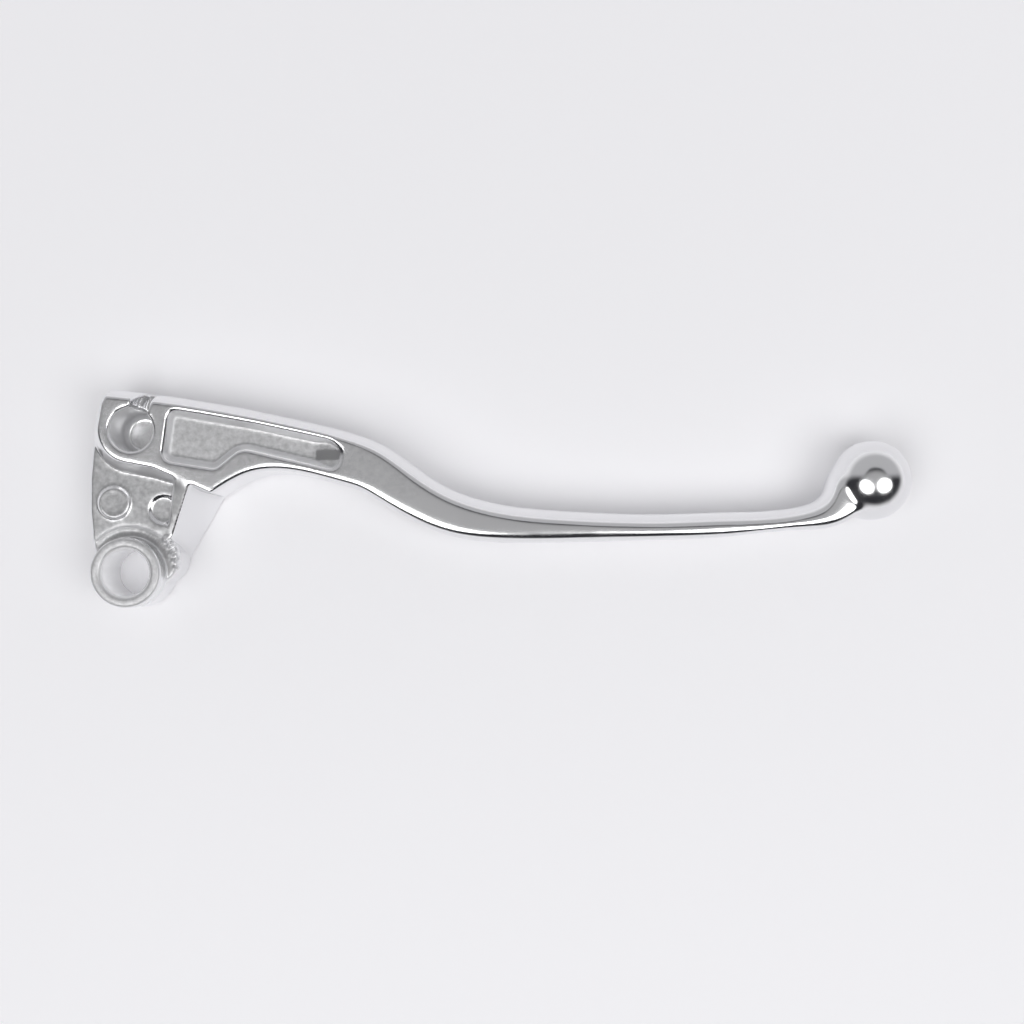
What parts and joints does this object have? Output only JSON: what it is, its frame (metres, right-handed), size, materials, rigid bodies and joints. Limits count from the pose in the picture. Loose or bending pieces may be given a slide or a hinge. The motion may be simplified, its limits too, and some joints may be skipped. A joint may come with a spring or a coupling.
{
  "type": "motorcycle clutch lever",
  "caption": "Cranked hand lever for a motorcycle clutch: bored hub with a cable nipple seat, arm with a shallow panel recess, S-bend and slim blade ending in a ball.",
  "frame": {"origin": "pivot bore axis where it meets the underside of the hub", "axes": "+Z along the pivot bore, from the underside to the top face; +X along the lever from the pivot to the ball; +Y towards the front edge, which the fingers pull"},
  "size_m": [0.1766, 0.0471, 0.0173],
  "materials": {
    "polished_aluminium": "polished flanks and ball, satin top face"
  },
  "bodies": {
    "root": {"clutch_lever": "polished_aluminium"}
  },
  "joints": []
}
